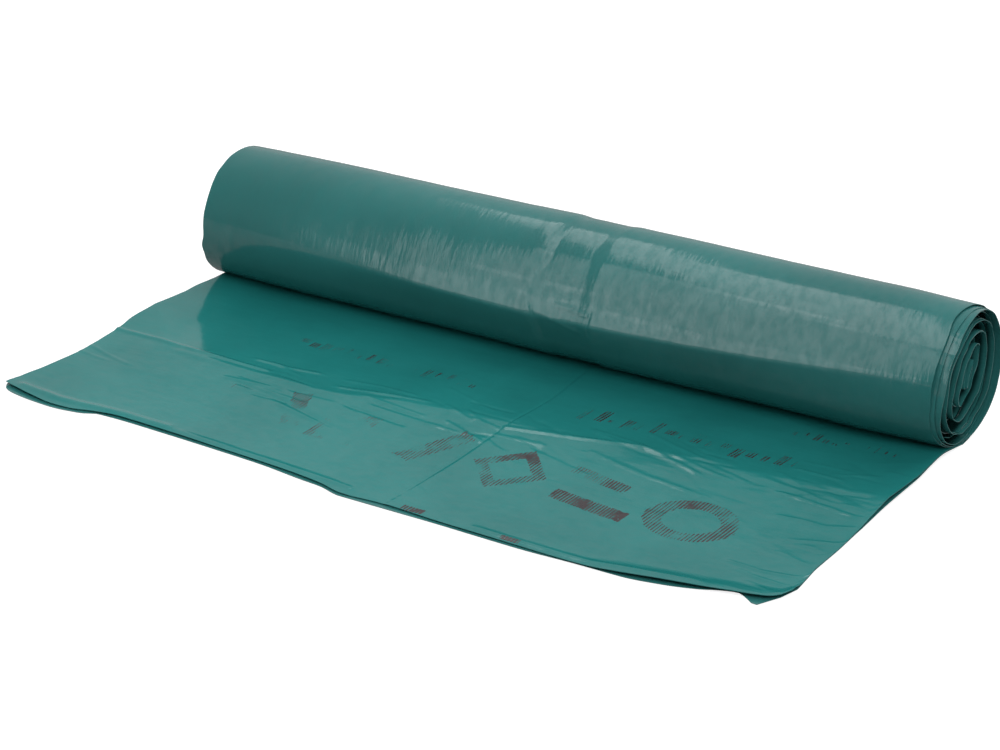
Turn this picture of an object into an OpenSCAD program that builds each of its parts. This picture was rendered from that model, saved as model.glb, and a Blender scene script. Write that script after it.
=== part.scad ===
// Roll of bin bags: one long web of flattened, side-gusseted film bags, wound on
// itself without a tube, with the free end of the web lying out in front.
// X runs along the roll, the free end lies towards -Y, and the floor is Z = 0.
// The origin is on the floor under the axis, in the middle of the roll's flat spot.

/* [Web] */
// Width of the folded web of bags
web_w = 359; // [300:1:420]
// Thickness of the web where the side gussets lie in it
web_t = 0.9; // [0.7:0.05:1.3]
// Distance between the inner folds of the two side gussets
gusset_gap = 25; // [10:1:50]
// Distance of that gap's middle from the middle of the web
gusset_offset = 10; // [-15:1:15]
// Width of the slope beside each inner fold
fold_w = 3; // [1:0.5:4]
// Drop of the surface between the folds, where the gusset layers end
fold_drop = 0.35; // [0.05:0.05:0.5]

/* [Roll] */
// Outside diameter of the roll
roll_d = 61.5; // [46:0.5:70]
// Diameter at which the even turns stop and the start of the web is tucked in
core_d = 11; // [9:0.5:16]
// Mean gap between neighbouring turns
turn_gap = 0.7; // [0.5:0.05:1.2]
// Share of the gap that a bunch of turns closes up by
bunching = 0.7; // [0:0.05:0.8]
// Number of turns in one bunch
bunch_turns = 3.3; // [2.3:0.1:6]
// Height by which the soft roll is flattened where it rests
flat_sag = 1.75; // [0.3:0.05:2.5]
// Share by which the middle turns are pressed into a leaf shape
core_squash = 0.6; // [0:0.05:0.65]
// Angle of that leaf above the horizontal
core_tilt = 43; // [-90:1:90]

/* [Ends of the roll] */
// Distance by which the inner turns stand past the outermost one
end_drift = 6; // [0:0.5:15]
// Number of turns over which they do so
drift_turns = 3; // [1:0.5:6]
// Distance by which the outer turns lean back towards the rear of the roll
end_tilt = 4; // [0:0.25:6]
// Distance by which single turns wander along the axis
end_wobble = 1.2; // [0:0.1:3]
// Depth by which the innermost turns are drawn in
core_recess = 4; // [0:0.5:10]

/* [Free end] */
// Reach of the free end in front of the roll's axis
flap_reach = 168; // [120:1:260]
// Distance that the free end wanders along the axis on its way out
flap_drift = 4.4; // [-10:0.1:10]
// Distance by which each side of it spreads
flap_spread = 2.5; // [0:0.5:8]
// Height by which the side edges lift beside the roll
edge_lift = 3; // [0:0.5:8]
// Length of that lifted stretch
edge_lift_run = 75; // [40:5:100]
// Height of the crease across the free end
crease_h = 1.2; // [0:0.1:3]
// Place of the crease, as a share of the way to the open mouth
crease_at = 0.55; // [0.3:0.05:0.75]
// Depth to which the two layers of the open mouth part
mouth_depth = 14; // [6:1:24]
// Distance by which the lower layer shows past the upper one at the corners
mouth_step = 5; // [0:0.5:10]
// Height by which the upper layer lifts at the corners
mouth_lift = 2; // [0.2:0.1:4]

/* [Hidden] */

film_colour = [0.10, 0.38, 0.36];

// Stations of the web for each turn, and between the mouth's inner line and its edge
turn_steps = 32;
mouth_steps = 3;
// Turns over which the start of the web is tucked in, and the radius left at its end
tuck_turns = 0.8;
tuck_r = web_t + 0.6;
// Share of the spread that the crease takes on each side of its top
crease_half = 0.04;
// Distance from the flat spot to where the side edges begin to lift
lift_clearance = 8;
// Turn counts over which the drop between the folds comes in, and then goes out again
drop_in = [0, 0.1];
drop_out = [0.85, 0.97];
// The same along the free end, as a share of its reach
drop_run = 0.05;
// Turns over which the innermost ones are drawn in
recess_turns = 2;
// Share of the web's thickness that each layer has at the open mouth
layer_share = 0.45;
// Share of the corners' lift that the middle of the mouth has
middle_lift = 0.25;
// Share of the half-width over which an edge lifts, and the corners open
edge_share = 0.2;
corner_share = 0.45;
// Wander of single turns, in waves for each turn
wobble_rate = 0.37;
// How fast the leaf shape fades on the way out
leaf_fade = 1.5;

// How far the free edge stands past the mean reach, for places across the web
edge_profile = [
    [-1, -6.5], [-0.85, -0.5], [-0.62, -4.5], [-0.3, -2.5], [0, 4.5],
    [0.3, 5], [0.56, 6], [0.78, 2], [0.9, -3], [0.96, -6], [1, -16]
];

roll_r = roll_d / 2;
axis_z = roll_r - flat_sag;
flat_angle = acos(axis_z / roll_r);
flat_half = roll_r * sin(flat_angle);
pitch = web_t + turn_gap;
turns = floor((roll_r - core_d / 2) / pitch);
bunch_swing = bunching * turn_gap / 2 / sin(180 / bunch_turns);
mouth_line = 1 - mouth_depth / flap_reach;

// Columns across the web: the two steps at the gusset folds, and the places of the edge's waves
fold_in = (gusset_offset - gusset_gap / 2) / (web_w / 2);
fold_out = (gusset_offset + gusset_gap / 2) / (web_w / 2);
fold_step = fold_w / (web_w / 2);
columns = [
    -1, -0.85, -0.62, -0.3, fold_in - fold_step, fold_in, fold_out, fold_out + fold_step,
    0.3, 0.56, 0.78, 0.9, 0.96, 1
];
n_cols = len(columns);

function ramp(v) = let (c = max(0, min(1, v))) c * c * (3 - 2 * c);
function mix(a, b, v) = a + (b - a) * v;
function fade(v, span) = ramp((v - span[0]) / (span[1] - span[0]));

// Drop of the surface at a place across the web
function drop(s) =
    let (outside = max(fold_in - s, s - fold_out))
    fold_drop * (1 - max(0, min(1, outside / fold_step)));

// The wound turns. A station is a turn count u, from 0 at the floor, inwards.
// Angles run from the rear of the roll over its top, and a turn starts at -90.
function station(k) =
    let (turn = floor(k / turn_steps), step = k - turn * turn_steps)
    step == 0 ? turn
    : turn + (flat_angle + (360 - 2 * flat_angle) * (step - 1) / (turn_steps - 2)) / 360;
function angle(u) = 360 * (u - floor(u)) - 90;

// Depth of the web's outer face below the outside of the roll: level along the flat spot
function wind(u) =
    let (flat = flat_angle / 360)
    floor(u) + max(0, u - floor(u) - flat) / (1 - flat);
function depth(u) =
    let (w = wind(u))
    pitch * w - bunch_swing * sin(360 * w / bunch_turns);
tuck_drop = max(pitch, (roll_r - depth(turns) - tuck_r) / tuck_turns - pitch);
function outer_r(u) = roll_r - depth(u) - max(0, u - turns) * tuck_drop;

// A point of the section: round outside, a tilted leaf in the middle, flat where it rests
function leaf(r) = core_squash * pow(1 - r / roll_r, leaf_fade);
function rest(r, a) =
    sin(a) < -axis_z / roll_r ? mix(1, -axis_z / roll_r / sin(a), ramp(r / roll_r)) : 1;
function section(r, a) =
    let (
        q = r * rest(r, a),
        along = q * (1 + leaf(r)) * cos(a - core_tilt),
        over = q * (1 - leaf(r)) * sin(a - core_tilt)
    )
    [
        along * cos(core_tilt) - over * sin(core_tilt),
        axis_z + along * sin(core_tilt) + over * cos(core_tilt)
    ];

// Place of the web's middle along the axis
function shift(u, a) =
    end_drift * (ramp(u / drift_turns) - 0.5)
    + end_wobble * ramp(u) * sin(360 * wobble_rate * u)
    + end_tilt * cos(a) * (1 - ramp(u / drift_turns / 2))
    - core_recess * ramp((u - turns) / recess_turns + 1);

function turn_point(u, s, inner) =
    let (
        a = angle(u),
        shown = fade(u, drop_in) * (1 - fade(u, drop_out)),
        r = outer_r(u) - (inner ? web_t : drop(s) * shown)
    )
    concat(shift(u, a) + s * web_w / 2, section(r, a));

// The free end. A station is a share t of the reach, from the roll to the edge.
function reach(s) = flap_reach + lookup(s, edge_profile);
function flap_x(s, t) = shift(0, -90) + flap_drift * t + s * (web_w / 2 + flap_spread * t);
function corner(s, share) = max(0, (abs(s) - 1 + share) / share);
function lift(s, t) =
    let (run = (t * flap_reach - flat_half - lift_clearance) / edge_lift_run)
    edge_lift * pow(corner(s, edge_share), 2) * sin(180 * max(0, min(1, run)))
    + crease_h * max(0, 1 - abs(t / mouth_line - crease_at) / crease_half);
function flap_point(s, t, z) = [flap_x(s, t), -reach(s) * t, lift(s, t) + z];
function flap_top(s, t) = web_t - drop(s) * ramp(t / drop_run);

flap_rows = concat(
    [for (i = [0:7]) (crease_at - crease_half) * i / 8],
    [crease_at - crease_half, crease_at, crease_at + crease_half],
    [for (i = [1:5]) mix(crease_at + crease_half, 1, i / 5)]
) * mouth_line;

// The open mouth. A station is a share v from the line where its two layers part to the edge.
function mouth_t(v) = mix(mouth_line, 1, v);
function under_point(s, v, z) =
    let (p = flap_point(s, mouth_t(v), 0))
    [p.x, p.y - mouth_step * corner(s, corner_share) * v, z];
function upper_point(s, v, z) =
    let (p = flap_point(s, mouth_t(v), 0))
    [p.x, p.y, mouth_lift * v * v * mix(middle_lift, 1, corner(s, corner_share)) + z];

// One line of points along the web at a place across it: in along the outer face to the edge
// of the lower layer, back to the line where the layers part, out to the edge of the upper
// layer, and back along the inner face
function web_line(s) = concat(
    [for (k = [turn_steps:-1:1]) turn_point(station(k), s, false)],
    [for (t = flap_rows) flap_point(s, t, 0)],
    [for (i = [1:mouth_steps]) under_point(s, i / mouth_steps, 0)],
    [for (i = [mouth_steps:-1:1]) under_point(s, i / mouth_steps, (web_t - drop(s)) * layer_share)],
    [under_point(s, 0, (web_t - drop(s)) / 2)],
    [for (i = [1:mouth_steps]) upper_point(s, i / mouth_steps, (web_t - drop(s)) * (1 - layer_share))],
    [for (i = [mouth_steps:-1:1]) upper_point(s, i / mouth_steps, web_t - drop(s))],
    [for (i = [len(flap_rows) - 1:-1:0]) flap_point(s, flap_rows[i], flap_top(s, flap_rows[i]))],
    [for (k = [1:turn_steps]) turn_point(station(k), s, true)]
);
n_face = turn_steps + len(flap_rows);
n_line = 2 * n_face + 4 * mouth_steps + 1;

// The inner turns need only their two ends: outer face left and right, inner face left and right
last = (turns + tuck_turns) * turn_steps;
inner_stations = [for (k = [turn_steps + 1:last]) station(k)];
function inner_row(u) = [
    turn_point(u, -1, false), turn_point(u, 1, false),
    turn_point(u, -1, true), turn_point(u, 1, true)
];

function quad(a, b, c, d) = [[a, b, c], [a, c, d]];
function join(lists) = [for (l = lists) for (e = l) e];

// Point i of the line at column j, and point i of inner row k
function at(i, j) = j * n_line + i;
function in_at(k, i) = n_cols * n_line + 4 * k + i;

// Faces of the outermost turn and the free end, and of their two side edges
function skin_faces() = join([
    for (j = [0:n_cols - 2]) for (i = [0:n_line - 2])
        quad(at(i, j), at(i + 1, j), at(i + 1, j + 1), at(i, j + 1))
]);
function side_faces(j) =
    let (
        far = n_line - 1,
        line = n_face + 2 * mouth_steps,
        e = n_face - 1
    )
    join(concat(
        [for (i = [0:e - 2]) quad(at(i, j), at(far - i, j), at(far - i - 1, j), at(i + 1, j))],
        [[
            [at(e - 1, j), at(line, j), at(e, j)],
            [at(e - 1, j), at(far - e + 1, j), at(line, j)],
            [at(line, j), at(far - e + 1, j), at(far - e, j)]
        ]],
        [quad(at(e, j), at(line, j), at(line - 1, j), at(e + 1, j))],
        [for (i = [1:mouth_steps - 1])
            quad(at(e + i, j), at(line - i, j), at(line - i - 1, j), at(e + i + 1, j))],
        [quad(at(line, j), at(far - e, j), at(far - e - 1, j), at(line + 1, j))],
        [for (i = [1:mouth_steps - 1])
            quad(at(line + i, j), at(far - e - i, j), at(far - e - i - 1, j), at(line + i + 1, j))]
    ));

// Faces of the inner turns
function inner_faces(k) = join([
    quad(in_at(k, 0), in_at(k, 1), in_at(k + 1, 1), in_at(k + 1, 0)),
    quad(in_at(k, 3), in_at(k, 2), in_at(k + 1, 2), in_at(k + 1, 3)),
    quad(in_at(k, 2), in_at(k, 0), in_at(k + 1, 0), in_at(k + 1, 2)),
    quad(in_at(k, 1), in_at(k, 3), in_at(k + 1, 3), in_at(k + 1, 1))
]);

// Faces that carry the many columns of the outermost turn over to the two of the next
function hand_over() =
    let (far = n_line - 1, n = n_cols - 1)
    concat(
        [for (j = [0:n - 1]) [in_at(0, 0), at(0, j), at(0, j + 1)]],
        [[in_at(0, 0), at(0, n), in_at(0, 1)]],
        [for (j = [0:n - 1]) [in_at(0, 2), at(far, j + 1), at(far, j)]],
        [[in_at(0, 2), in_at(0, 3), at(far, n)]],
        quad(at(far, 0), at(0, 0), in_at(0, 0), in_at(0, 2)),
        quad(at(0, n), at(far, n), in_at(0, 3), in_at(0, 1))
    );

function flip(faces) = [for (f = faces) [f[2], f[1], f[0]]];

module bag_roll() {
    n_inner = len(inner_stations);
    color(film_colour)
    polyhedron(
        points = concat(
            join([for (s = columns) web_line(s)]),
            join([for (u = inner_stations) inner_row(u)])
        ),
        faces = concat(
            skin_faces(),
            side_faces(0),
            flip(side_faces(n_cols - 1)),
            hand_over(),
            join([for (k = [0:n_inner - 2]) inner_faces(k)]),
            quad(in_at(n_inner - 1, 0), in_at(n_inner - 1, 1), in_at(n_inner - 1, 3), in_at(n_inner - 1, 2))
        ),
        convexity = 40
    );
}

bag_roll();
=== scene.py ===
# Roll of side-gusseted bin bags with the free end of its web lying out in front.
# X runs along the roll, the free end lies towards -Y and the floor is Z = 0.
# Shapes are worked out in millimetres and made in metres.
import math

import bpy
import numpy as np
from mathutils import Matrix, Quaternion, Vector


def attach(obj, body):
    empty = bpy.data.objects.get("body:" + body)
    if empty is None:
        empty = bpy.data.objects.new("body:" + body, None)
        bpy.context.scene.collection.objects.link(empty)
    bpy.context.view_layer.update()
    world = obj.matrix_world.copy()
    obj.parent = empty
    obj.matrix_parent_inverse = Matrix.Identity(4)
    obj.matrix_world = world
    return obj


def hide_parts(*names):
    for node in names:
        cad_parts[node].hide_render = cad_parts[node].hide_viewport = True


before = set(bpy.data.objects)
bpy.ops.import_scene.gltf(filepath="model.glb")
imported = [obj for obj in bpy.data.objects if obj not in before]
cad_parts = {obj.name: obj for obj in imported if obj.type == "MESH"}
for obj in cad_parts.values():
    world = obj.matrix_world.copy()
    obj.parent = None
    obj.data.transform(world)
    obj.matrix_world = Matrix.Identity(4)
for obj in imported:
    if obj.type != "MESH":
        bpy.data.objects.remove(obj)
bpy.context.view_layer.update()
print("frame loaded")

mm = 0.001


# Curves, noise and folds

def ramp(value):
    held = np.clip(value, 0, 1)
    return held * held * (3 - 2 * held)


def mix(first, second, share):
    return first + (second - first) * share


def smoothCurve(points, at):
    # Passes through (place, value) points with rounded turns and no overshoot
    x, y = np.array(points, float).T
    step = np.diff(x)
    slope = np.diff(y) / step
    product = slope[:-1] * slope[1:]
    total = np.where(product > 0, slope[:-1] + slope[1:], 1)
    inner = np.where(product > 0, 2 * product / total, 0)
    tangent = np.concatenate([slope[:1], inner, slope[-1:]])
    place = np.clip(at, x[0], x[-1])
    i = np.clip(np.searchsorted(x, place, side="right") - 1, 0, len(step) - 1)
    t = (place - x[i]) / step[i]
    bend = tangent[i] * t * (1 - t) ** 2 - tangent[i + 1] * t * t * (1 - t)
    return mix(y[i], y[i + 1], t * t * (3 - 2 * t)) + step[i] * bend


def patchNoise(u, v, cellU, cellV, seed):
    # Smooth random heights from -1 to 1, one for each cell
    cells = 128
    heights = np.random.default_rng(seed).uniform(-1, 1, (cells, cells))
    a, b = u / cellU + cells / 2, v / cellV + cells / 2
    i, j = np.floor(a).astype(int), np.floor(b).astype(int)
    p, q = ramp(a - i), ramp(b - j)
    near = mix(heights[i % cells, j % cells], heights[(i + 1) % cells, j % cells], p)
    far = mix(heights[i % cells, (j + 1) % cells], heights[(i + 1) % cells, (j + 1) % cells], p)
    return mix(near, far, q)


def distanceTo(u, v, path):
    nearest = np.full(np.broadcast(u, v).shape, 1e6)
    for (u0, v0), (u1, v1) in zip(path[:-1], path[1:]):
        du, dv = u1 - u0, v1 - v0
        t = np.clip(((u - u0) * du + (v - v0) * dv) / (du * du + dv * dv), 0, 1)
        nearest = np.minimum(nearest, np.hypot(u - u0 - t * du, v - v0 - t * dv))
    return nearest


def crease(u, v, path, width, height):
    return height * np.exp(-(distanceTo(u, v, path) / width) ** 2)


def places(first, last, count, fine):
    # Spreads count places from first to last, closer together round each (middle, reach)
    crowding = 2.2
    x = np.linspace(first, last, 2000)
    density = np.ones_like(x)
    for middle, reach in fine:
        density += crowding * np.exp(-((x - middle) / reach) ** 2)
    total = np.cumsum(density)
    total = (total - total[0]) / (total[-1] - total[0])
    return np.interp(np.linspace(0, 1, count), total, x)


# Materials

filmLook = {
    # Lighter and darker colour of the wound film and of the free end; the free end's are lighter, painted
    # light for the light that comes through its layers from the floor
    "wound": ((0.0315, 0.180, 0.174), (0.027, 0.149, 0.144)),
    "loose": ((0.016, 0.214, 0.205), (0.013, 0.178, 0.171)),
    # Painted shade between the turns: the near-black colour the film goes over to far from the web's edge,
    # and the distances from that edge where this painted shade begins and is full
    "shadeBetweenTurns": (0.004, 0.028, 0.027),  # far in between the turns
    "shadeBetweenTurnsFrom": (0.0004, 0.0030),  # distances from the web's edge where that begins and is full
    "roughness": (0.08, 0.17),
    "inkRoughness": 0.16,  # added where there is ink
    "haze": (0.62, 0.34),  # strength of the reflections on clean and on dull spots
    # Heights in mm on the wound film and on the free end
    "waves": (0.060, 0.080),
    "streaks": (0.100, 0.085),
    "grain": (0.0016, 0.0012),
    # How fine each noise is; the streaks again on the wound film and on the free end
    "scales": {"colour": 16, "gloss": 130, "haze": 280, "waves": 95, "patches": 22, "grain": 2400,
               "streaks": (480, 330)},
}

printLook = {
    "ink": (0.042, 0.029, 0.033),
    "hatch": 1.4,  # distance between the lines of a worn print in mm
    # Kind, middle x and y, half sizes, turn in degrees, how much of it is left
    "large": [
        ("ring", -92, -121, 11, 11, 0, 0.42),
        ("bar", -62, -119, 4, 15, 24, 0.48),
        ("frame", -36, -122, 11, 14, 0, 0.46),
        ("bar", 6, -117, 4.5, 17, -24, 0.60),
        ("diamond", 42, -119, 17, 19, 0, 0.62),
        ("bar", 76, -108, 15, 3.2, -12, 0.58),
        ("bar", 84, -130, 17, 4, -8, 0.70),
        ("ring", 124, -121, 19, 17, 0, 0.60),
        ("bar", 31, -170, 5, 2, 0, 0.66),
        ("bar", 76, -171.5, 4, 1.5, 0, 0.66),
    ],
    # Middle y, half height, first and last x, pitch of the strokes, how much is left
    "rows": [
        (-57, 6.5, -106, -14, 5.9, 0.54),
        (-57, 6.5, 38, 134, 6.3, 0.56),
        (-27, 4.2, 118, 164, 4.4, 0.56),
    ],
}


def calc(tree, operation, *values):
    node = tree.nodes.new("ShaderNodeMath")
    node.operation = operation
    for socket, value in zip(node.inputs, values):
        if isinstance(value, (int, float)):
            socket.default_value = value
        else:
            tree.links.new(value, socket)
    return node.outputs[0]


def noiseOf(tree, vector, scale, detail=2.0, stretch=None, roughness=0.5):
    if stretch:
        mapping = tree.nodes.new("ShaderNodeMapping")
        mapping.inputs["Scale"].default_value = stretch
        tree.links.new(vector, mapping.inputs["Vector"])
        vector = mapping.outputs["Vector"]
    node = tree.nodes.new("ShaderNodeTexNoise")
    node.inputs["Scale"].default_value = scale
    node.inputs["Detail"].default_value = detail
    node.inputs["Roughness"].default_value = roughness
    tree.links.new(vector, node.inputs["Vector"])
    return node.outputs["Fac"]


def rangeOf(tree, value, low, high, first=0.0, last=1.0):
    node = tree.nodes.new("ShaderNodeMapRange")
    node.interpolation_type = "SMOOTHSTEP"
    tree.links.new(value, node.inputs["Value"])
    for name, number in (("From Min", low), ("From Max", high), ("To Min", first), ("To Max", last)):
        node.inputs[name].default_value = number
    return node.outputs["Result"]


def mixColours(tree, share, first, second):
    node = tree.nodes.new("ShaderNodeMix")
    node.data_type = "RGBA"
    tree.links.new(share, node.inputs["Factor"])
    for socket, colour in ((node.inputs["A"], first), (node.inputs["B"], second)):
        if isinstance(colour, tuple):
            socket.default_value = (*colour, 1)
        else:
            tree.links.new(colour, socket)
    return node.outputs["Result"]


def shapeInk(tree, x, y, wobble, kind, middleX, middleY, halfX, halfY, turn, left):
    # Ink of one plain shape: 1 inside, 0 outside, with a ragged border
    cosine, sine = math.cos(math.radians(turn)), math.sin(math.radians(turn))
    dx = calc(tree, "SUBTRACT", x, middleX * mm)
    dy = calc(tree, "SUBTRACT", y, middleY * mm)
    sideX, sideY = halfX * mm, halfY * mm
    along = calc(tree, "MULTIPLY_ADD", dx, cosine / sideX, calc(tree, "MULTIPLY", dy, sine / sideX))
    over = calc(tree, "MULTIPLY_ADD", dy, cosine / sideY, calc(tree, "MULTIPLY", dx, -sine / sideY))
    a, b = calc(tree, "ABSOLUTE", along), calc(tree, "ABSOLUTE", over)
    if kind == "bar" or kind == "frame":
        size = calc(tree, "MAXIMUM", a, b)
    elif kind == "ring":
        size = calc(tree, "SQRT", calc(tree, "MULTIPLY_ADD", a, a, calc(tree, "MULTIPLY", b, b)))
    else:
        size = calc(tree, "ADD", a, b)
    if kind != "bar":
        # Only the outline is printed
        size = calc(tree, "MULTIPLY", calc(tree, "ABSOLUTE", calc(tree, "SUBTRACT", size, 0.8)), 5)
    ragged = calc(tree, "MULTIPLY_ADD", wobble, 0.5, size)
    return calc(tree, "MULTIPLY", rangeOf(tree, ragged, 1.22, 1.3, 1, 0), left)


def rowInk(tree, x, y, middleY, halfY, firstX, lastX, pitch, left):
    # Ink of a row of broken strokes, each of its own width, height and place
    place = calc(tree, "DIVIDE", calc(tree, "SUBTRACT", x, firstX * mm), pitch * mm)
    cell = calc(tree, "FLOOR", place)
    within = calc(tree, "FRACT", place)
    chance = tree.nodes.new("ShaderNodeTexWhiteNoise")
    chance.noise_dimensions = "1D"
    tree.links.new(calc(tree, "ADD", cell, middleY + firstX), chance.inputs["W"])
    drawn = tree.nodes.new("ShaderNodeSeparateColor")
    tree.links.new(chance.outputs["Color"], drawn.inputs[0])
    width = calc(tree, "MULTIPLY_ADD", drawn.outputs[0], 0.55, 0.20)
    across = calc(tree, "LESS_THAN", within, width)
    offset = calc(tree, "MULTIPLY_ADD", drawn.outputs[2], 0.9 * halfY * mm, (middleY - 0.45 * halfY) * mm)
    height = calc(tree, "ABSOLUTE", calc(tree, "DIVIDE", calc(tree, "SUBTRACT", y, offset), halfY * mm))
    inside = calc(tree, "LESS_THAN", height, calc(tree, "MULTIPLY_ADD", drawn.outputs[1], -0.75, 0.9))
    span = calc(tree, "COMPARE", x, (firstX + lastX) / 2 * mm, (lastX - firstX) / 2 * mm)
    stroke = calc(tree, "MULTIPLY", across, inside)
    return calc(tree, "MULTIPLY", stroke, calc(tree, "MULTIPLY", span, left))


def inkOf(tree, web):
    parts = tree.nodes.new("ShaderNodeSeparateXYZ")
    tree.links.new(web, parts.inputs[0])
    x, y = parts.outputs[0], parts.outputs[1]
    wobble = noiseOf(tree, web, 420, 3, (1, 0.5, 1))
    ink = 0.0
    for shape in printLook["large"]:
        ink = calc(tree, "MAXIMUM", ink, shapeInk(tree, x, y, wobble, *shape))
    for row in printLook["rows"]:
        ink = calc(tree, "MAXIMUM", ink, rowInk(tree, x, y, *row))
    wear = noiseOf(tree, web, 75, 5, (1, 0.8, 1), 0.62)
    # The less is left, the thinner the lines of the print roller that still show
    total = calc(tree, "ADD", wear, ink)
    border = rangeOf(tree, total, 0.93, 1.36, 1.1, -1.35)
    lines = calc(tree, "SINE", calc(tree, "MULTIPLY_ADD", x, math.tau / printLook["hatch"] / mm,
                                    calc(tree, "MULTIPLY", wobble, 0.9)))
    shown = rangeOf(tree, calc(tree, "SUBTRACT", lines, border), -0.12, 0.12)
    return calc(tree, "MULTIPLY", shown, calc(tree, "GREATER_THAN", ink, 0.01))


def filmMaterial(name, printed=False, shadeBetweenTurns=False):
    material = bpy.data.materials.new(name)
    material.use_nodes = True
    tree = material.node_tree
    shader = tree.nodes["Principled BSDF"]
    source = tree.nodes.new("ShaderNodeUVMap")
    source.uv_map = "web"
    web = source.outputs["UV"]
    scales = filmLook["scales"]
    loose = int(printed)
    # The free end takes the lighter colours: painted light for light coming through its layers from the
    # floor
    light, dark = filmLook["loose" if printed else "wound"]
    mottled = rangeOf(tree, noiseOf(tree, web, scales["colour"], 4), 0.3, 0.75)
    colour = mixColours(tree, mottled, light, dark)
    # Painted shade deep between the turns: the colour goes over to near-black teal away from the web's edge
    if shadeBetweenTurns:
        edge = tree.nodes.new("ShaderNodeAttribute")
        edge.attribute_name = "fromEdge"
        inside = rangeOf(tree, edge.outputs["Fac"], *filmLook["shadeBetweenTurnsFrom"])
        colour = mixColours(tree, inside, colour, filmLook["shadeBetweenTurns"])
    dullness = noiseOf(tree, web, scales["gloss"], 5, (1, 0.35, 1), 0.65)
    gloss = rangeOf(tree, dullness, 0.3, 0.7, *filmLook["roughness"])
    # Waves and streaks run along the roll on the free end and round it on the wound film
    if printed:
        ink = inkOf(tree, web)
        colour = mixColours(tree, ink, colour, printLook["ink"])
        gloss = calc(tree, "MULTIPLY_ADD", ink, filmLook["inkRoughness"], gloss)
        streaks = noiseOf(tree, web, scales["streaks"][loose], 4, (0.22, 1, 1))
        waves = noiseOf(tree, web, scales["waves"], 4, (0.5, 1, 1))
        haze = noiseOf(tree, web, scales["haze"], 4, (0.6, 1, 1), 0.65)
    else:
        streaks = noiseOf(tree, web, scales["streaks"][loose], 3, (1, 0.2, 1))
        waves = noiseOf(tree, web, scales["waves"], 4, (1, 0.45, 1))
        haze = noiseOf(tree, web, scales["haze"], 4, (1, 0.45, 1), 0.65)
    patches = rangeOf(tree, noiseOf(tree, web, scales["patches"], 2), 0.35, 0.65, 0.35, 1.2)
    streaks = calc(tree, "MULTIPLY", streaks, patches)
    grain = noiseOf(tree, web, scales["grain"], 1, (1, 0.6, 1))
    reflection = rangeOf(tree, haze, 0.35, 0.68, *filmLook["haze"])
    tree.links.new(reflection, shader.inputs["Specular IOR Level"])
    height = calc(tree, "MULTIPLY", waves, filmLook["waves"][loose])
    height = calc(tree, "MULTIPLY_ADD", streaks, filmLook["streaks"][loose], height)
    height = calc(tree, "MULTIPLY_ADD", grain, filmLook["grain"][loose], height)
    bump = tree.nodes.new("ShaderNodeBump")
    bump.inputs["Distance"].default_value = mm
    tree.links.new(height, bump.inputs["Height"])
    tree.links.new(bump.outputs["Normal"], shader.inputs["Normal"])
    tree.links.new(colour, shader.inputs["Base Color"])
    tree.links.new(gloss, shader.inputs["Roughness"])
    shader.inputs["IOR"].default_value = 1.5
    return material


plainFilm = filmMaterial("plainFilm")
printedFilm = filmMaterial("printedFilm", printed=True)
innerFilm = filmMaterial("innerFilm", shadeBetweenTurns=True)
print("materials made")


def filmPiece(name, points, web, thickness, material):
    # Rows and columns of points in mm become a closed film; web holds each point's place on the film
    rows, columns = points.shape[:2]
    index = np.arange(rows * columns).reshape(rows, columns)
    quads = np.stack([index[:-1, :-1], index[1:, :-1], index[1:, 1:], index[:-1, 1:]], -1).reshape(-1, 4)
    mesh = bpy.data.meshes.new(name)
    mesh.from_pydata((points.reshape(-1, 3) * mm).tolist(), [], quads.tolist())
    layer = mesh.uv_layers.new(name="web")
    layer.data.foreach_set("uv", (web.reshape(-1, 2) * mm)[quads.ravel()].ravel())
    ends = np.empty(len(mesh.edges) * 2, int)
    mesh.edges.foreach_get("vertices", ends)
    row, column = np.divmod(ends.reshape(-1, 2), columns)
    border = np.zeros(len(row), bool)
    for line, last in ((row, rows - 1), (column, columns - 1)):
        border |= (line == 0).all(1) | (line == last).all(1)
    mesh.shade_smooth()
    mesh.edges.foreach_set("use_edge_sharp", border)
    mesh.materials.append(material)
    piece = bpy.data.objects.new(name, mesh)
    bpy.context.scene.collection.objects.link(piece)
    film = piece.modifiers.new("Thickness", "SOLIDIFY")
    film.thickness = thickness * mm
    film.offset = -1
    return piece


# The roll

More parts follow.
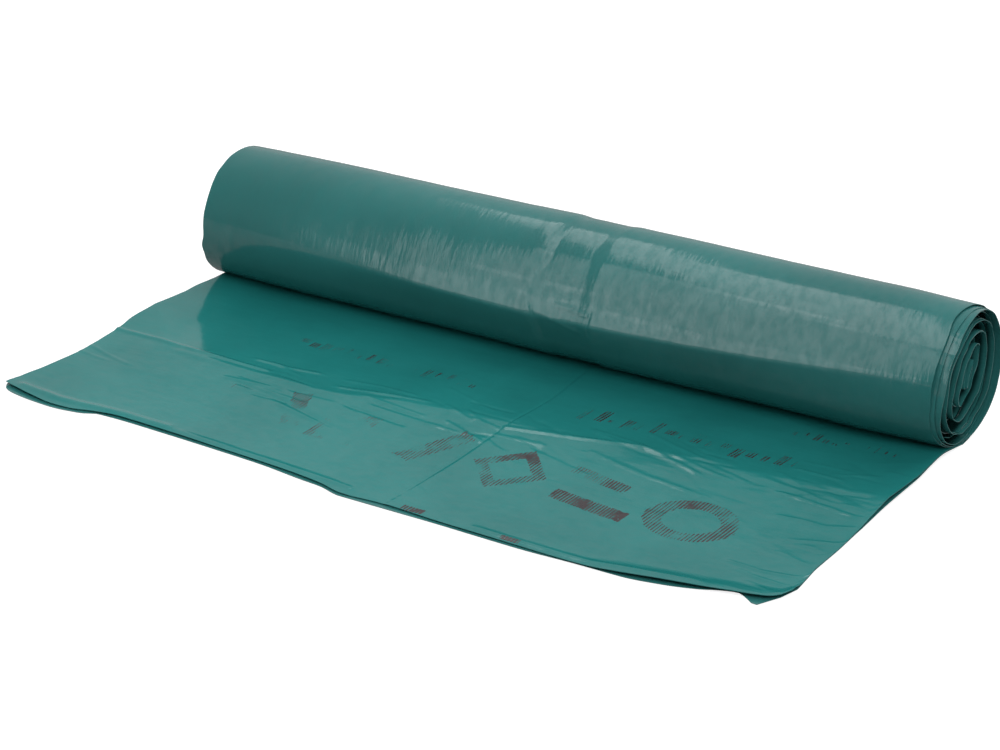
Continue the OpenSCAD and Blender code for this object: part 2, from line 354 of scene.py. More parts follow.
roll = {
    # A place on the web is counted in turns: from the floor, up the rear of the roll, over its top
    "radius": 30.5,
    "axisHeight": 28.97,
    "turnStep": 0.6,  # how much smaller the outermost turn has become after one round
    "film": 0.3,  # thickness of the flattened bag
    "sag": 0.3,  # how softly the roll meets the floor
    "floorStep": 0.5,  # how much higher each turn lies over the floor than the one before it
    # How much thicker the roll is along its length
    "swell": [(-185, -0.6), (-165, -0.3), (-130, 0), (-60, -0.1), (0, 0.3), (60, 0.2), (100, -0.2),
              (140, -0.3), (165, -0.8), (185, -1.3)],
    "flatTurns": (0.4, 0.6),  # between these the web goes from one height over the floor to the next
    # Places of the web's right and left edges, for turn counts
    "right": [(0, 178.5), (0.25, 176.5), (0.52, 176.6), (0.64, 179.6), (0.72, 179.4), (0.77, 178.6),
              (0.81, 177.8), (0.9, 177.6), (1.2, 179.4), (1.5, 179.2), (1.64, 180.2), (1.75, 179.4),
              (1.85, 178), (2.2, 180.9), (2.5, 181.2), (2.64, 181.8), (2.75, 180), (2.85, 178.6),
              (3.2, 179), (3.6, 176.8), (4.4, 175), (5.3, 177.6), (6.3, 179.8), (7.5, 176),
              (8.8, 171.5), (10, 175.5), (11, 178.8), (12.2, 175), (13.4, 170.5), (14.6, 175.5),
              (15.7, 178.4), (16.8, 175), (18, 171.5), (20, 178), (25, 178.5)],
    "left": [(0, -182.8), (0.3, -180), (0.6, -179.5), (0.75, -180), (0.82, -182.5), (0.917, -184),
             (1, -183), (1.3, -179), (2, -176.5), (4, -175), (6, -178), (25, -180)],
    "leanTurn": 0.17,  # in radians
    # How far the right edge leans towards the rear
    "lean": [(0, 0), (0.2, 2.3), (0.8, 2.3), (1.3, 1.2), (1.8, 0.8), (2.3, -0.2), (2.8, -0.8),
             (3.4, -1), (5, -0.5), (25, -0.5)],
}

outerTurn = {
    "rows": 200,
    "columns": 226,
    "turns": 1.01,
    # First and last place along the roll, and (middle, reach) where the columns lie closer together
    "span": (-180, 176),
    "fine": [(-3, 5), (21, 6), (176, 8), (-180, 6)],
    "foldDepth": 0.55,  # drop of the surface between the inner folds of the two gussets
    "folds": ((-6, -1), (18, 23.2)),
    # The long crease low on the front: place along the roll, angle and height
    "creaseAngle": [(-185, 177), (-100, 179.5), (-50, 182), (10, 183.5), (50, 181.5), (100, 177),
                    (150, 169.5), (188, 166)],
    "creaseHeight": [(-185, 0.1), (-150, 0.5), (-120, 1.2), (-50, 2.7), (0, 2.9), (60, 2.7), (100, 2.2),
                     (150, 1.6), (188, 1.1)],
    "creaseReach": 24,  # in degrees to each side
    "creaseFlare": 1.6,
    # How blunt its crest is up to the first place and from the second place on
    "crest": (0.05, 0.0016, -130, -60),
    # Share of a turn at the start and at the end over which all relief grows and fades
    "fade": (0.06, 0.05),
    # Random unevenness: height, cell along and round the roll, seed
    "unevenness": [(0.30, 62, 55, 11), (0.10, 17, 42, 12), (0.035, 5.2, 30, 13), (0.014, 2.6, 16, 14)],
    # Waves of the two edges: height, cell round the roll, seed, places where they begin and are full
    "edgeWaves": [(0.35, 4, 21, 168, 176), (0.35, 5, 22, -172, -180)],
    "edgeRadius": 29,
    # Small creases: points of place and angle, half-width, height
    "creases": [
        ([(-6, 92), (-6, 186)], 0.5, -0.07),
        ([(0, 100), (-0.5, 180)], 0.5, -0.07),
        ([(17.5, 104), (17, 178)], 0.5, -0.05),
        ([(-62, 122), (-70, 172)], 0.7, 0.06),
        ([(8, 173), (23, 175)], 0.6, 0.35),
        ([(15, 175), (13, 187)], 0.6, -0.30),
        ([(24, 172), (23, 192)], 0.6, -0.35),
        ([(-5, 174), (-3, 184)], 0.7, -0.30),
        ([(6, 150), (16, 146)], 0.5, 0.10),
        ([(-6, 178), (5, 183), (18, 191)], 0.8, 0.25),
    ],
}


def section(turn, radius):
    # A point across the roll: y and z of the web at a turn count, round above and flat where it rests
    angle = math.tau * turn - math.pi / 2
    begin, full = roll["flatTurns"]
    floor = roll["floorStep"] * ramp((turn - begin) / (full - begin))
    height = roll["axisHeight"] + radius * np.sin(angle) - floor
    return radius * np.cos(angle), floor + (height + np.sqrt(height ** 2 + roll["sag"] ** 2)) / 2


def edgeAt(side, turn):
    place = smoothCurve(roll[side], turn)
    if side == "right":
        swing = np.cos(math.tau * (turn - 0.25) + roll["leanTurn"])
        place = place + smoothCurve(roll["lean"], turn) * swing
    return place


def rollRelief(x, turn):
    # Height of the outermost turn's surface over a plain roll
    angle = 360 * turn - 90
    along = math.tau * roll["radius"] * turn
    (a0, a1), (b0, b1) = outerTurn["folds"]
    between = np.clip((x - a0) / (a1 - a0), 0, 1) - np.clip((x - b0) / (b1 - b0), 0, 1)
    height = -outerTurn["foldDepth"] * between
    middle = smoothCurve(outerTurn["creaseAngle"], x)
    away = (angle - middle) / outerTurn["creaseReach"]
    blunt, sharp, bluntTo, sharpFrom = outerTurn["crest"]
    soft = mix(blunt, sharp, ramp((x - bluntTo) / (sharpFrom - bluntTo)))
    rise = np.clip(1 + math.sqrt(sharp) - np.sqrt(away ** 2 + soft), 0, 1) ** outerTurn["creaseFlare"]
    height = height + smoothCurve(outerTurn["creaseHeight"], x) * rise
    for path, width, depth in outerTurn["creases"]:
        line = [(px, math.tau * roll["radius"] * (pa + 90) / 360) for px, pa in path]
        height = height + crease(x, along, line, width, depth)
    for size, cellX, cellAround, seed in outerTurn["unevenness"]:
        height = height + size * patchNoise(x, along, cellX, cellAround, seed)
    grow, fade = outerTurn["fade"]
    return smoothCurve(roll["swell"], x) + height * ramp(turn / grow) * ramp((1 - turn) / fade)


def makeOuterTurn():
    turn = np.linspace(0, outerTurn["turns"], outerTurn["rows"])[:, None]
    first, last = outerTurn["span"]
    across = places(first, last, outerTurn["columns"], outerTurn["fine"])
    share = ((across - first) / (last - first))[None, :]
    left, right = edgeAt("left", turn), edgeAt("right", turn)
    x = mix(left, right, share)
    for size, cell, seed, begin, full in outerTurn["edgeWaves"]:
        wave = patchNoise(x * 0, math.tau * outerTurn["edgeRadius"] * turn, 1, cell, seed)
        x = x + size * wave * ramp((x - begin) / (full - begin))
    turn = turn + 0 * share
    radius = roll["radius"] - roll["turnStep"] * turn + rollRelief(x, turn)
    y, z = section(turn, radius)
    along = math.tau * roll["radius"] * turn
    web = np.stack([np.broadcast_to(across[None, :], x.shape), along], -1)
    return filmPiece("outer_turn", np.stack([x, y, z], -1), web, roll["film"], plainFilm)


outerPiece = makeOuterTurn()
print("outermost turn made")


# The inner turns, by Geometry Nodes: a flat box of points is wound into the spiral

innerTurns = {
    "First radius": 29.7 * mm,
    "Turn step": 1.3 * mm,
    "Turns": 20.4,
    "Bunch depth": 0.78 * mm,
    "Bunch turns": 4.6,
    "Bunch start": 0.6,
    "Film": 0.28 * mm,
    "Rest height": 27.9 * mm,
    "Right taper": 1.3 * mm,
    "Left taper": 0.75 * mm,
    "Wander": 5.0 * mm,
    "Leaf": 0.62,
    "Leaf tilt": math.radians(43),
    "Core shift": 4.0 * mm,
    "Unevenness": 1.5 * mm,
    "Core height": 28.97 * mm,
}
innerShape = {
    "stationsPerTurn": 72,
    "columns": 16,
    "taperPower": 14,
    "leafPower": 1.5,
    # The curves of the web's edges: how many turns they run, and the values they lie between
    "curveTurns": 25,
    "lean": (-5, 5),
    "right": (170, 190),
    "left": (-190, -170),
    "drift": (0.4, 2.0),  # scale and detail of the noise that shifts turns along the roll
    "driftTurns": (1.5, 4),
    "waves": (75, 1.5),  # scale and detail of the noise that makes the turns wavy
    "waveSizes": (0.4, 1.6),  # its strength in the middle, and what the ends have over that
    "webPerTurn": 0.11,
    # On these first turns the painted shade between the turns is weaker
    "openTurns": (1.6, 2.4, 0.3, 1),  # the first turns lie open to the light
    "smoothBelow": 0.9,  # in radians
}


def curveOf(tree, value, name):
    # A drawn curve through the roll's points of that name
    limit = innerShape["curveTurns"]
    low, high = innerShape[name]
    node = tree.nodes.new("ShaderNodeFloatCurve")
    tree.links.new(calc(tree, "DIVIDE", value, limit), node.inputs["Value"])
    line = node.mapping.curves[0]
    shown = [(p / limit, (q - low) / (high - low)) for p, q in roll[name]]
    while len(line.points) < len(shown):
        line.points.new(0.5, 0.5)
    for point, place in zip(line.points, shown):
        point.location = place
        point.handle_type = "AUTO_CLAMPED"
    node.mapping.update()
    return calc(tree, "MULTIPLY_ADD", node.outputs["Value"], (high - low) * mm, low * mm)


def spiralTree():
    tree = bpy.data.node_groups.new("WoundWeb", "GeometryNodeTree")
    for name, value in innerTurns.items():
        socket = tree.interface.new_socket(name, in_out="INPUT", socket_type="NodeSocketFloat")
        socket.default_value = value
    seed = tree.interface.new_socket("Seed", in_out="INPUT", socket_type="NodeSocketFloat")
    seed.default_value = 7.0
    tree.interface.new_socket("Film material", in_out="INPUT", socket_type="NodeSocketMaterial")
    tree.interface.new_socket("Geometry", in_out="OUTPUT", socket_type="NodeSocketGeometry")
    given = tree.nodes.new("NodeGroupInput").outputs
    link = tree.links.new

    box = tree.nodes.new("GeometryNodeMeshCube")
    box.inputs["Size"].default_value = (1, 1, 1)
    box.inputs["Vertices X"].default_value = innerShape["columns"]
    box.inputs["Vertices Y"].default_value = round(innerTurns["Turns"] * innerShape["stationsPerTurn"])
    box.inputs["Vertices Z"].default_value = 2
    place = tree.nodes.new("GeometryNodeInputPosition")
    parts = tree.nodes.new("ShaderNodeSeparateXYZ")
    link(place.outputs[0], parts.inputs[0])
    across, along, side = parts.outputs

    # Columns crowd towards the two ends of the roll
    share = calc(tree, "MULTIPLY_ADD", calc(tree, "SINE", calc(tree, "MULTIPLY", across, math.pi)), 0.5, 0.5)
    wound = calc(tree, "MULTIPLY", calc(tree, "ADD", along, 0.5), given["Turns"])
    turn = calc(tree, "ADD", wound, 1)
    angle = calc(tree, "MULTIPLY_ADD", wound, math.tau, -math.pi / 2)

    # Distance from the middle of the roll: even steps, with the turns drawn together in bunches
    swung = calc(tree, "MULTIPLY", calc(tree, "SUBTRACT", wound, given["Bunch start"]), math.tau)
    begin = calc(tree, "MULTIPLY", given["Bunch start"], math.tau)
    begin = calc(tree, "DIVIDE", begin, given["Bunch turns"])
    wave = calc(tree, "SINE", calc(tree, "DIVIDE", swung, given["Bunch turns"]))
    wave = calc(tree, "ADD", wave, calc(tree, "SINE", begin))
    even = calc(tree, "SUBTRACT", given["First radius"], calc(tree, "MULTIPLY", wound, given["Turn step"]))
    bunched = calc(tree, "MULTIPLY_ADD", wave, given["Bunch depth"], even)
    inward = calc(tree, "MULTIPLY", calc(tree, "SUBTRACT", 0.5, side), given["Film"])
    power = innerShape["taperPower"]
    tapered = calc(tree, "MULTIPLY", calc(tree, "POWER", share, power), given["Right taper"])
    other = calc(tree, "POWER", calc(tree, "SUBTRACT", 1, share), power)
    tapered = calc(tree, "MULTIPLY_ADD", other, given["Left taper"], tapered)
    radius = calc(tree, "SUBTRACT", calc(tree, "SUBTRACT", bunched, inward), tapered)

    # The middle is pressed into a tilted leaf and lies off centre
    outwards = calc(tree, "DIVIDE", radius, given["First radius"])
    depth = calc(tree, "MAXIMUM", calc(tree, "SUBTRACT", 1, outwards), 0)
    leaf = calc(tree, "MULTIPLY", calc(tree, "POWER", depth, innerShape["leafPower"]), given["Leaf"])
    turned = calc(tree, "SUBTRACT", angle, given["Leaf tilt"])
    long = calc(tree, "MULTIPLY", calc(tree, "MULTIPLY", radius, calc(tree, "ADD", 1, leaf)),
                calc(tree, "COSINE", turned))
    short = calc(tree, "MULTIPLY", calc(tree, "MULTIPLY", radius, calc(tree, "SUBTRACT", 1, leaf)),
                 calc(tree, "SINE", turned))
    cosine = calc(tree, "COSINE", given["Leaf tilt"])
    sine = calc(tree, "SINE", given["Leaf tilt"])
    y = calc(tree, "SUBTRACT", calc(tree, "MULTIPLY", long, cosine), calc(tree, "MULTIPLY", short, sine))
    y = calc(tree, "MULTIPLY_ADD", depth, given["Core shift"], y)
    z = calc(tree, "ADD", calc(tree, "MULTIPLY", long, sine), calc(tree, "MULTIPLY", short, cosine))
    rest = calc(tree, "SUBTRACT", inward, given["Rest height"])
    rest = calc(tree, "MULTIPLY_ADD", wound, roll["floorStep"] * mm, rest)
    z = calc(tree, "SMOOTH_MAX", z, rest, roll["sag"] * mm)

    # Edges of the web
    lean = curveOf(tree, turn, "lean")
    swing = calc(tree, "COSINE", calc(tree, "ADD", angle, roll["leanTurn"]))
    right = calc(tree, "MULTIPLY_ADD", lean, swing, curveOf(tree, turn, "right"))
    left = curveOf(tree, turn, "left")
    x = calc(tree, "MULTIPLY_ADD", calc(tree, "SUBTRACT", right, left), share, left)
    drift = tree.nodes.new("ShaderNodeTexNoise")
    drift.noise_dimensions = "1D"
    drift.inputs["Scale"].default_value, drift.inputs["Detail"].default_value = innerShape["drift"]
    link(calc(tree, "ADD", wound, given["Seed"]), drift.inputs["W"])
    begun = rangeOf(tree, wound, *innerShape["driftTurns"])
    wander = calc(tree, "MULTIPLY", calc(tree, "SUBTRACT", drift.outputs["Fac"], 0.5), given["Wander"])
    x = calc(tree, "MULTIPLY_ADD", wander, begun, x)

    # Wavy turns towards the two ends, and single turns that stand out or in
    ends = calc(tree, "POWER", calc(tree, "ABSOLUTE", calc(tree, "MULTIPLY_ADD", share, 2, -1)), 6)
    joined = tree.nodes.new("ShaderNodeCombineXYZ")
    for socket, value in zip(joined.inputs, (x, y, z)):
        link(value, socket)
    noise = tree.nodes.new("ShaderNodeTexNoise")
    noise.noise_dimensions = "4D"
    noise.inputs["Scale"].default_value, noise.inputs["Detail"].default_value = innerShape["waves"]
    link(joined.outputs[0], noise.inputs["Vector"])
    link(given["Seed"], noise.inputs["W"])
    centred = tree.nodes.new("ShaderNodeVectorMath")
    centred.operation = "SUBTRACT"
    centred.inputs[1].default_value = (0.5, 0.5, 0.5)
    link(noise.outputs["Color"], centred.inputs[0])
    inMiddle, atEnds = innerShape["waveSizes"]
    amount = calc(tree, "MULTIPLY_ADD", ends, atEnds, inMiddle)
    amount = calc(tree, "MULTIPLY", amount, given["Unevenness"])
    amount = calc(tree, "MULTIPLY", amount, calc(tree, "MINIMUM", calc(tree, "MULTIPLY", depth, 6), 1))
    shaken = tree.nodes.new("ShaderNodeVectorMath")
    shaken.operation = "MULTIPLY_ADD"
    link(centred.outputs[0], shaken.inputs[0])
    link(amount, shaken.inputs[1])
    link(joined.outputs[0], shaken.inputs[2])
    lifted = tree.nodes.new("ShaderNodeCombineXYZ")
    link(given["Core height"], lifted.inputs["Z"])
    final = tree.nodes.new("ShaderNodeVectorMath")
    final.operation = "ADD"
    link(shaken.outputs[0], final.inputs[0])
    link(lifted.outputs[0], final.inputs[1])

    # The place on the web and the distance from its edge are kept before the points move
    stored = tree.nodes.new("GeometryNodeStoreNamedAttribute")
    stored.data_type = "FLOAT2"
    stored.domain = "CORNER"
    stored.inputs["Name"].default_value = "web"
    onWeb = tree.nodes.new("ShaderNodeCombineXYZ")
    link(x, onWeb.inputs["X"])
    link(calc(tree, "MULTIPLY", wound, innerShape["webPerTurn"]), onWeb.inputs["Y"])
    link(box.outputs["Mesh"], stored.inputs["Geometry"])
    link(onWeb.outputs[0], stored.inputs["Value"])
    # The distance from the web's edge sets the painted shade between the turns; it is made smaller on the
    # first turns, which lie open to the light
    nearer = calc(tree, "MINIMUM", share, calc(tree, "SUBTRACT", 1, share))
    edge = tree.nodes.new("GeometryNodeStoreNamedAttribute")
    edge.data_type = "FLOAT"
    edge.inputs["Name"].default_value = "fromEdge"
    lit = rangeOf(tree, wound, *innerShape["openTurns"])
    width = calc(tree, "MULTIPLY", calc(tree, "SUBTRACT", right, left), lit)
    link(calc(tree, "MULTIPLY", nearer, width), edge.inputs["Value"])
    link(stored.outputs["Geometry"], edge.inputs["Geometry"])
    moved = tree.nodes.new("GeometryNodeSetPosition")
    link(edge.outputs["Geometry"], moved.inputs["Geometry"])
    link(final.outputs[0], moved.inputs["Position"])
    corner = tree.nodes.new("GeometryNodeInputMeshEdgeAngle")
    smooth = tree.nodes.new("GeometryNodeSetShadeSmooth")
    smooth.domain = "EDGE"
    link(moved.outputs[0], smooth.inputs["Geometry"])
    flat = calc(tree, "LESS_THAN", corner.outputs["Unsigned Angle"], innerShape["smoothBelow"])
    link(flat, smooth.inputs["Shade Smooth"])
    realized = tree.nodes.new("GeometryNodeRealizeInstances")
    link(smooth.outputs[0], realized.inputs[0])
    painted = tree.nodes.new("GeometryNodeSetMaterial")
    link(realized.outputs[0], painted.inputs["Geometry"])
    link(given["Film material"], painted.inputs["Material"])
    link(painted.outputs[0], tree.nodes.new("NodeGroupOutput").inputs[0])
    return tree


def makeInnerTurns():
    tree = spiralTree()
    carrier = bpy.data.objects.new("carrier", bpy.data.meshes.new("carrier"))
    bpy.context.scene.collection.objects.link(carrier)
    modifier = carrier.modifiers.new("Wound web", "NODES")
    modifier.node_group = tree
    for item in tree.interface.items_tree:
        if item.in_out == "INPUT" and item.name in innerTurns:
            modifier[item.identifier] = innerTurns[item.name]
        if item.in_out == "INPUT" and item.name == "Film material":
            modifier[item.identifier] = innerFilm
    shaped = carrier.evaluated_get(bpy.context.evaluated_depsgraph_get())
    mesh = bpy.data.meshes.new_from_object(shaped)
    bpy.data.objects.remove(carrier)
    mesh.name = "inner_turns"
    piece = bpy.data.objects.new("inner_turns", mesh)
    bpy.context.scene.collection.objects.link(piece)
    return piece


innerPiece = makeInnerTurns()
print("inner turns made:", len(innerPiece.data.polygons), "faces")


# The free end: two layers of film, open at the front

freeEnd = {
    # Rows and columns of the upper and of the lower layer, and (middle, reach) where columns lie closer
    "upper": (212, 222),
    "lower": (120, 180),
    "fine": [(-4, 9), (18, 5)],
    "layer": 0.22,  # thickness of one layer
    "clearance": 0.25,  # how far the uneven upper layer lies over the lower one
    # Side edges: place towards the front, and place along the roll
    "left": [(-176, -180.6), (-151, -180.6), (-140, -179.5), (-129, -178.7), (-118, -178.4),
             (-107, -179.1), (-97, -180), (-87, -180.8), (-77, -182.2), (-65, -181.7), (-43, -181.7),
             (-32, -182.5), (-20, -182.2), (-8, -183.2), (0, -182.8)],
    "right": [(-176, 184), (-148, 183.2), (-140, 182.4), (-129, 181.3), (-113, 181), (-95, 180.1),
              (-86, 179.8), (-66, 179.2), (-43, 179.4), (-30, 178.6), (-18, 178), (0, 178.5)],
    "leftLift": [(-90, 0), (-80, 0.4), (-60, 0.9), (-40, 1.4), (-25, 1.7), (-12, 1.2), (0, 0)],
    "rightLift": [(-90, 0), (-86, 0.2), (-66, 0.8), (-43, 1.5), (-18, 2), (-6, 0.8), (0, 0)],
    "liftShares": (0.16, 0.14),  # share of the width that stands up at the left and at the right edge
    "liftFlare": 1.6,
    # The mouth: share of the length where the layers part, and how far, along it and more at its corners
    "mouthShare": 0.07,
    "mouthGap": 0.25,
    "cornerGap": 1.1,
    # Share of the width where the right and the left corner begin, how far each grows, and its size
    "corners": [(0.74, 0.16, 1.0), (0.12, -0.12, 0.6)],
    # How much of the upper layer's height over a first height the lower layer follows
    "follow": (0.35, 0.3),
    "followFront": (0.97, 0.1),  # share of the length where it stops, and over which it fades
    "followSides": 0.05,
    "lowerPlace": 400,  # how far the lower layer's place on the web is from the upper one's
    # Front edges: place along the roll and towards the front
    "upperFront": [(-181, -161.5), (-174.8, -163.2), (-163.5, -165.8), (-150.6, -167.6),
                   (-141.7, -167.2), (-131.2, -164.6), (-118, -162.8), (-96, -163.4), (-64, -165),
                   (-33, -167.2), (-12, -169.8), (0, -172.6), (18, -171.6), (46, -173), (82, -173.8),
                   (111.7, -174.4), (121.9, -173.4), (137.2, -170.6), (152.4, -167.6), (163.2, -164.9),
                   (176.8, -161.5), (181, -158.6), (183.4, -152)],
    "lowerFront": [(-180.5, -161), (-177.4, -165), (-170.7, -167.2), (-159.6, -168.8), (-149.3, -169.4),
                   (-135.3, -167.6), (-127.9, -164.4), (-117, -164.1), (-96, -164.7), (-64.3, -166.1),
                   (-43.5, -167.3), (-22, -170), (-11.8, -171), (0, -174), (37, -174), (82.4, -174.8),
                   (107, -173.9), (124.5, -173.7), (139.8, -171.3), (153.7, -167), (160.1, -163.8),
                   (167.2, -161.8), (171, -163.8), (176.1, -166.8), (179.2, -161), (182, -154.5),
                   (183.2, -148)],
    # Lines where the gusset layers end under the surface: place towards the front, place along the roll
    "foldA": [(-180, 2.5), (-165, 2), (-118, -0.2), (-77, -5.6), (-39, -9.5), (0, -6)],
    "foldB": [(-180, 19.6), (-101, 19.6), (-54, 18.5), (-9, 14.4), (0, 17)],
    "foldSink": 0.16,  # how much deeper the surface lies between them
    "foldSteps": ((-2, 4.5), (-0.5, 1.2)),  # where the step at each begins, and its width
    # The groove along the second: depth, half-width, offset, and where it starts and how it grows
    "groove": (0.20, 0.55, -0.2, -158, 12),
    "nearRoll": 14,  # distance from the roll over which all relief fades
    # The film rises to this line across it and falls again in front of it: place along the roll
    # and towards the front
    "ridge": [(-185, -60), (-165, -78), (-150, -93), (-128, -96.5), (-95, -98.5), (-60, -98.5),
              (-30, -90), (10, -85), (50, -82), (75, -76), (115, -75), (150, -70), (185, -66)],
    # Fine wrinkles scattered along that line, as ranges, or as middles and spreads
    "wrinkles": {"count": 70, "seed": 5, "places": (-95, 176), "offLine": (-4, 13), "halfLength": (4, 15),
                 "slant": (-1.5, 1.8), "heights": (0.10, 0.26), "halfWidth": 1.0},
    "ridgeHeight": 2.0,
    "ridgeRun": (42, 40),  # length of the rise and of the fall
    # Random unevenness: height, cell along the roll and towards the front, seed
    "unevenness": [(0.25, 55, 38, 31), (0.13, 21, 13, 32), (0.035, 8, 5, 33), (0.012, 3, 3.4, 34)],
    # Creases: points, half-width, height
    "creases": [
        ([(-182, -90), (-150, -93), (-128, -94), (-95, -95)], 1.3, 0.55),
        ([(-140, -98), (-100, -100), (-60, -100)], 2.0, 0.25),
        ([(-107, -86), (-90, -86.5), (-75, -84)], 1.0, 0.35),
        ([(-60, -92.5), (-40, -88), (-20, -85)], 1.0, 0.35),
        ([(-62, -84), (-45, -81), (-28, -82)], 0.9, 0.22),
        ([(20, -89), (48, -83), (75, -76)], 1.1, 0.40),
        ([(77, -75), (92, -80.5), (107, -86)], 0.9, 0.35),
        ([(90, -76), (105, -81), (120, -84)], 0.9, 0.28),
        ([(60, -90), (90, -97), (118, -101)], 1.4, 0.30),
        ([(82, -74), (117, -99), (175, -130)], 0.45, 0.16),
        ([(22, -150), (50, -171)], 0.45, 0.16),
        ([(-178, -110), (-166, -114), (-150, -119)], 0.8, 0.25),
        ([(-178, -117), (-163, -119)], 0.8, 0.2),
        ([(141.5, -83.3), (151.7, -83.9), (161.8, -84.6), (170.1, -85.7), (176.9, -86)], 0.9, 0.40),
        ([(144.4, -88.7), (152.1, -80), (165.6, -80.8), (170.5, -78.9)], 0.8, 0.20),
        ([(149.9, -99), (159.9, -97.7), (168.7, -97.9), (176.3, -94.1)], 0.8, 0.28),
        ([(163.7, -114), (170.5, -110.7), (179.8, -107.5)], 0.7, 0.22),
        ([(167, -117.6), (170.9, -115), (179.3, -118.6)], 0.7, 0.22),
        ([(164.2, -125.7), (170.2, -128), (177.3, -130)], 0.7, 0.24),
        ([(182, -140), (166, -143), (152, -142)], 0.8, 0.28),
        ([(183, -149), (165, -148), (158, -146)], 0.8, 0.25),
        ([(180, -157), (166, -153)], 0.8, 0.25),
        ([(161.6, -38.7), (173.9, -30.6)], 0.8, 0.18),
        ([(-172, -160), (-150, -162), (-120, -160), (-95, -160.5)], 2.2, 0.7),
        ([(-90, -161), (-40, -164), (0, -167)], 1.5, 0.3),
        ([(60, -170), (110, -171), (150, -164)], 1.6, 0.35),
    ],
}


def endRelief(x, y):
    # Height of the free end's surface over a flat one
    foldA = smoothCurve(freeEnd["foldA"], y)
    foldB = smoothCurve(freeEnd["foldB"], y)
    (beginA, widthA), (beginB, widthB) = freeEnd["foldSteps"]
    between = ramp((x - foldA - beginA) / widthA) - ramp((x - foldB - beginB) / widthB)
    depth, halfWidth, offset, start, grow = freeEnd["groove"]
    groove = np.exp(-((x - foldB - offset) / halfWidth) ** 2) * ramp((y - start) / grow)
    height = -freeEnd["foldSink"] * between - depth * groove
    for path, width, depth in freeEnd["creases"]:
        height = height + crease(x, y, path, width, depth)
    wrinkles = freeEnd["wrinkles"]
    chance = np.random.default_rng(wrinkles["seed"])
    for _ in range(wrinkles["count"]):
        px = chance.uniform(*wrinkles["places"])
        py = smoothCurve(freeEnd["ridge"], px) + chance.normal(*wrinkles["offLine"])
        dx, dy = chance.uniform(*wrinkles["halfLength"]), chance.normal(*wrinkles["slant"])
        path = [(px - dx, py - dy), (px, py), (px + dx, py + dy)]
        size = chance.uniform(*wrinkles["heights"]) * chance.choice([-1, 1])
        height = height + crease(x, y, path, wrinkles["halfWidth"], size)
    before = smoothCurve(freeEnd["ridge"], x) - y
    rise, fall = freeEnd["ridgeRun"]
    slope = np.where(before < 0, np.clip(1 + before / rise, 0, 1), np.clip(1 - before / fall, 0, 1))
    height = height + freeEnd["ridgeHeight"] * slope ** 1.5
    height = height + freeEnd["clearance"]
    for size, cellX, cellY, seed in freeEnd["unevenness"]:
        height = height + size * patchNoise(x, y, cellX, cellY, seed)
    return height * ramp(-y / freeEnd["nearRoll"])


def endPoints(front, rows, columns):
    # Places x and y of a layer, from the roll to its front edge
    left, right = smoothCurve(freeEnd["left"], 0), smoothCurve(freeEnd["right"], 0)
    across = places(left, right, columns, freeEnd["fine"])
    share = (across - left) / (right - left)
    frontShare = []
    for x, y in front:
        low, high = smoothCurve(freeEnd["left"], y), smoothCurve(freeEnd["right"], y)
        frontShare.append(((x - low) / (high - low), y))
    reach = smoothCurve(frontShare, share)
    down = np.linspace(0, 1, rows)[:, None]
    y = down * reach[None, :]
    x = mix(smoothCurve(freeEnd["left"], y), smoothCurve(freeEnd["right"], y), share[None, :])
    return x, y, share[None, :] + 0 * y, down + 0 * y


def sideLift(y, share):
    leftShare, rightShare = freeEnd["liftShares"]
    left = smoothCurve(freeEnd["leftLift"], y) * ramp(1 - share / leftShare) ** freeEnd["liftFlare"]
    right = smoothCurve(freeEnd["rightLift"], y) * ramp(1 - (1 - share) / rightShare) ** freeEnd["liftFlare"]
    return left + right


def makeUpperLayer():
    x, y, share, down = endPoints(freeEnd["upperFront"], *freeEnd["upper"])
    z = 2 * freeEnd["layer"] + endRelief(x, y) + sideLift(y, share)
    toFront = ramp(1 - (1 - down) / freeEnd["mouthShare"])
    corner = sum(size * ramp((share - begin) / reach) for begin, reach, size in freeEnd["corners"])
    z = z + toFront * (freeEnd["mouthGap"] + freeEnd["cornerGap"] * corner)
    web = np.stack([x, y], -1)
    return filmPiece("free_end_upper", np.stack([x, y, z], -1), web, freeEnd["layer"], printedFilm)


def makeLowerLayer():
    x, y, share, down = endPoints(freeEnd["lowerFront"], *freeEnd["lower"])
    part, above = freeEnd["follow"]
    stop, fade = freeEnd["followFront"]
    side = freeEnd["followSides"]
    lifted = part * np.maximum(endRelief(x, y) - above, 0) * ramp((stop - down) / fade)
    z = freeEnd["layer"] + lifted * ramp((1 - share) / side) * ramp(share / side) + sideLift(y, share)
    web = np.stack([x, y - freeEnd["lowerPlace"]], -1)
    return filmPiece("free_end_lower", np.stack([x, y, z], -1), web, freeEnd["layer"], plainFilm)


upperPiece = makeUpperLayer()
lowerPiece = makeLowerLayer()
print("free end made")


# Floor, light and camera

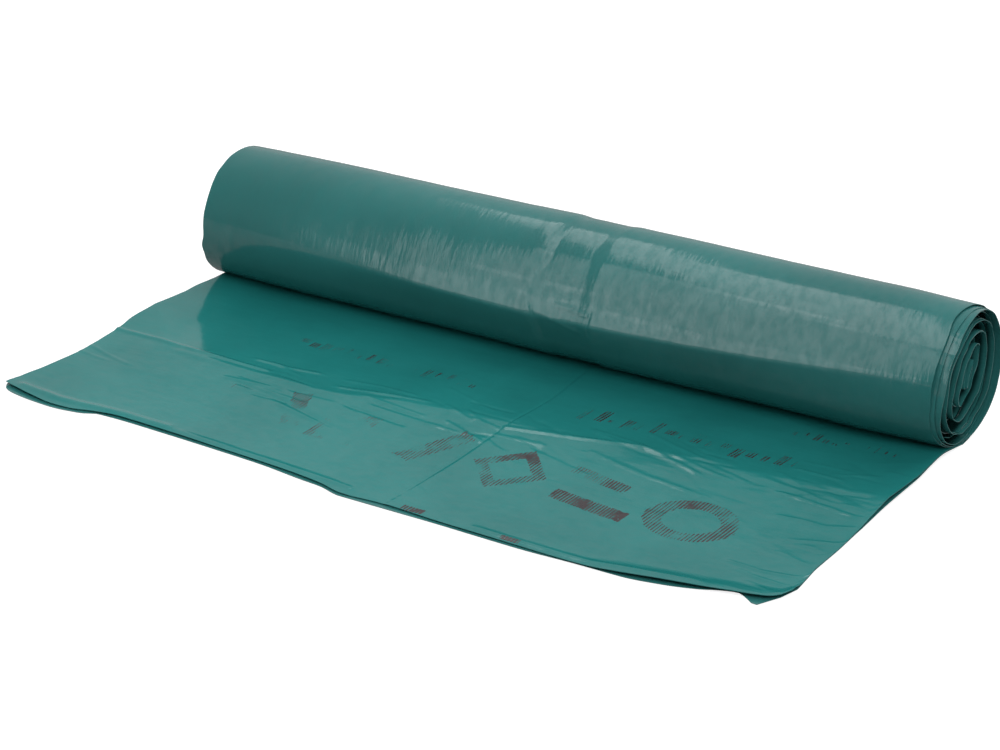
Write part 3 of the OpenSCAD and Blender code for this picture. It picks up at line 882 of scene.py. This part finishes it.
studio = {
    "floorSize": 6.0,
    "floorBelow": 0.0003,
    "floorColour": (0.45, 0.45, 0.45, 1),
    "floorGlow": 0.80,  # to the camera only
    "worldFront": 0.20,
    "worldRear": 0.48,
    "worldTurn": (-0.6, 0.7),  # directions where the one goes over into the other
    "softboxes": [
        # Place and aim in metres, turn in degrees, width and depth, brightness, and whether it lights
        # more than the gloss
        ((-0.325, 0.275, 0.60), (-0.325, 0.2751, 0), 24, (0.14, 0.42), 1.6, True),
        ((-0.115, -0.09, 0.60), (-0.115, -0.0899, 0), 14, (0.26, 0.62), 1.95, True),
        ((-0.33, -0.47, 0.45), (-0.33, 0.016, -0.424), -22, (0.20, 0.62), 1.35, True),
        ((-0.143, -0.535, 0.4135), (-0.143, -0.049, -0.4605), -22, (0.23, 0.45), 1.42, True),
        ((-0.315, -0.70, 0.155), (-0.25, 0, 0.105), 0, (0.46, 0.31), 1.9, False),
        ((0.35, 0.90, 0.85), (0, -0.05, 0), 0, (0.80, 0.60), 4.0, True),
        ((0.75, -0.75, 1.00), (0.05, -0.05, 0), 0, (0.60, 0.60), 4.9, True),
        ((1.0, -0.40, 0.35), (0.18, 0, 0.03), 0, (0.40, 0.30), 2.5, True),
    ],
}

view = {
    "place": (0.60705, -0.98949, 0.47679),
    "aim": (-0.15238, 0.170772, -0.106212),
    "lens": 105.615,
    "sensor": 36,
}


def makeFloor():
    mesh = bpy.data.meshes.new("floor")
    half, z = studio["floorSize"] / 2, -studio["floorBelow"]
    corners = [(-half, -half, z), (half, -half, z), (half, half, z), (-half, half, z)]
    mesh.from_pydata(corners, [], [(0, 1, 2, 3)])
    floor = bpy.data.objects.new("floor", mesh)
    bpy.context.scene.collection.objects.link(floor)
    material = bpy.data.materials.new("whiteFloor")
    material.use_nodes = True
    tree = material.node_tree
    tree.nodes.clear()
    path = tree.nodes.new("ShaderNodeLightPath")
    seen = path.outputs["Is Camera Ray"]
    lit = tree.nodes.new("ShaderNodeBsdfDiffuse")
    lit.inputs["Color"].default_value = studio["floorColour"]
    glow = tree.nodes.new("ShaderNodeEmission")
    tree.links.new(calc(tree, "MULTIPLY", seen, studio["floorGlow"]), glow.inputs["Strength"])
    both = tree.nodes.new("ShaderNodeAddShader")
    tree.links.new(lit.outputs[0], both.inputs[0])
    tree.links.new(glow.outputs[0], both.inputs[1])
    out = tree.nodes.new("ShaderNodeOutputMaterial")
    tree.links.new(both.outputs[0], out.inputs["Surface"])
    mesh.materials.append(material)


def makeWorld():
    world = bpy.data.worlds.new("studio")
    world.use_nodes = True
    tree = world.node_tree
    # Darker towards the camera's side of the room, and plain white to the camera
    towards = tree.nodes.new("ShaderNodeSeparateXYZ")
    tree.links.new(tree.nodes.new("ShaderNodeTexCoord").outputs["Generated"], towards.inputs[0])
    front, rear = studio["worldFront"], studio["worldRear"]
    light = rangeOf(tree, towards.outputs["Y"], *studio["worldTurn"], front, rear)
    seen = tree.nodes.new("ShaderNodeLightPath").outputs["Is Camera Ray"]
    strength = calc(tree, "MAXIMUM", seen, light)
    background = tree.nodes["Background"]
    background.inputs["Color"].default_value = (1, 1, 1, 1)
    tree.links.new(strength, background.inputs["Strength"])
    bpy.context.scene.world = world


def aimed(place, aim, turn=0):
    facing = (Vector(aim) - Vector(place)).to_track_quat("-Z", "Y")
    return (facing @ Quaternion((0, 0, 1), math.radians(turn))).to_euler()


def makeSoftboxes():
    for number, (place, aim, turn, size, brightness, lights) in enumerate(studio["softboxes"]):
        light = bpy.data.lights.new("softbox%d" % number, "AREA")
        light.shape = "RECTANGLE"
        light.size, light.size_y = size
        light.energy = brightness * math.pi * size[0] * size[1]
        lamp = bpy.data.objects.new(light.name, light)
        lamp.location = place
        lamp.rotation_euler = aimed(place, aim, turn)
        lamp.visible_camera = False
        lamp.visible_diffuse = lights
        bpy.context.scene.collection.objects.link(lamp)


def makeCamera():
    camera = bpy.data.cameras.new("camera")
    camera.lens = view["lens"]
    camera.sensor_width = view["sensor"]
    camera.sensor_fit = "HORIZONTAL"
    holder = bpy.data.objects.new("camera", camera)
    holder.location = view["place"]
    holder.rotation_euler = aimed(view["place"], view["aim"])
    bpy.context.scene.collection.objects.link(holder)
    bpy.context.scene.camera = holder


makeFloor()
makeWorld()
makeSoftboxes()
makeCamera()
bpy.context.scene.view_settings.view_transform = "Standard"
print("studio made")


# What rides on the frame

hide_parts("bag_roll")
for piece in (outerPiece, innerPiece, upperPiece, lowerPiece):
    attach(piece, "root")
